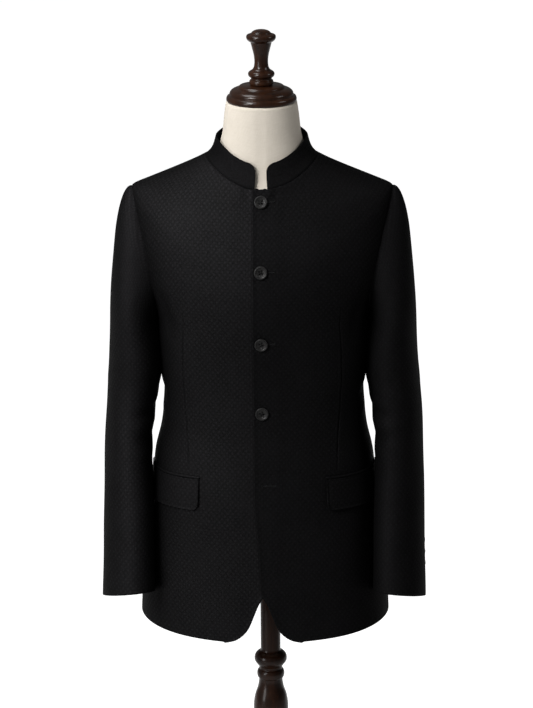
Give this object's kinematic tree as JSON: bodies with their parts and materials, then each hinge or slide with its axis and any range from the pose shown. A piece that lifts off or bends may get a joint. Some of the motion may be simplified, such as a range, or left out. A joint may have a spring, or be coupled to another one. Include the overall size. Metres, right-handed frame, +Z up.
{
  "type": "mandarin collar jacket on a dress form",
  "caption": "Tailored hip-length jacket with a standing mandarin collar, flap pockets and rounded front corners, worn by a limbless dress form on a turned wooden stand.",
  "frame": {"origin": "on the floor, in the middle of the part's overall box, 8 mm from the middle of the stand's round base", "axes": "+Z up, along the form and its pole; the jacket's front faces -Y; +X is the wearer's left"},
  "size_m": [0.5258, 0.37, 1.6751],
  "materials": {
    "cloth": "black dobby weave, matt with a slight sheen",
    "collar_cloth": "the same black cloth over a stiffener, pressed smooth",
    "buttons": "dark polished horn substitute with a raised rim",
    "linen": "cream linen stretched over the form",
    "wood": "dark walnut stain under a gloss varnish"
  },
  "bodies": {
    "root": {"front_left": "cloth", "front_right": "cloth", "back_left": "cloth", "back_right": "cloth", "sleeve_top_left": "cloth", "sleeve_top_right": "cloth", "sleeve_under_left": "cloth", "sleeve_under_right": "cloth", "collar": "collar_cloth", "flap_left": "cloth", "jetting_left": "cloth", "flap_right": "cloth", "jetting_right": "cloth", "button_1": "buttons", "button_2": "buttons", "button_3": "buttons", "button_4": "buttons", "cuff_button_left_1": "buttons", "cuff_button_left_2": "buttons", "cuff_button_left_3": "buttons", "cuff_button_right_1": "buttons", "cuff_button_right_2": "buttons", "cuff_button_right_3": "buttons", "form_torso": "linen", "form_neck_cap": "wood", "form_finial": "wood", "stand_pole": "wood", "stand_base": "wood"}
  },
  "joints": []
}
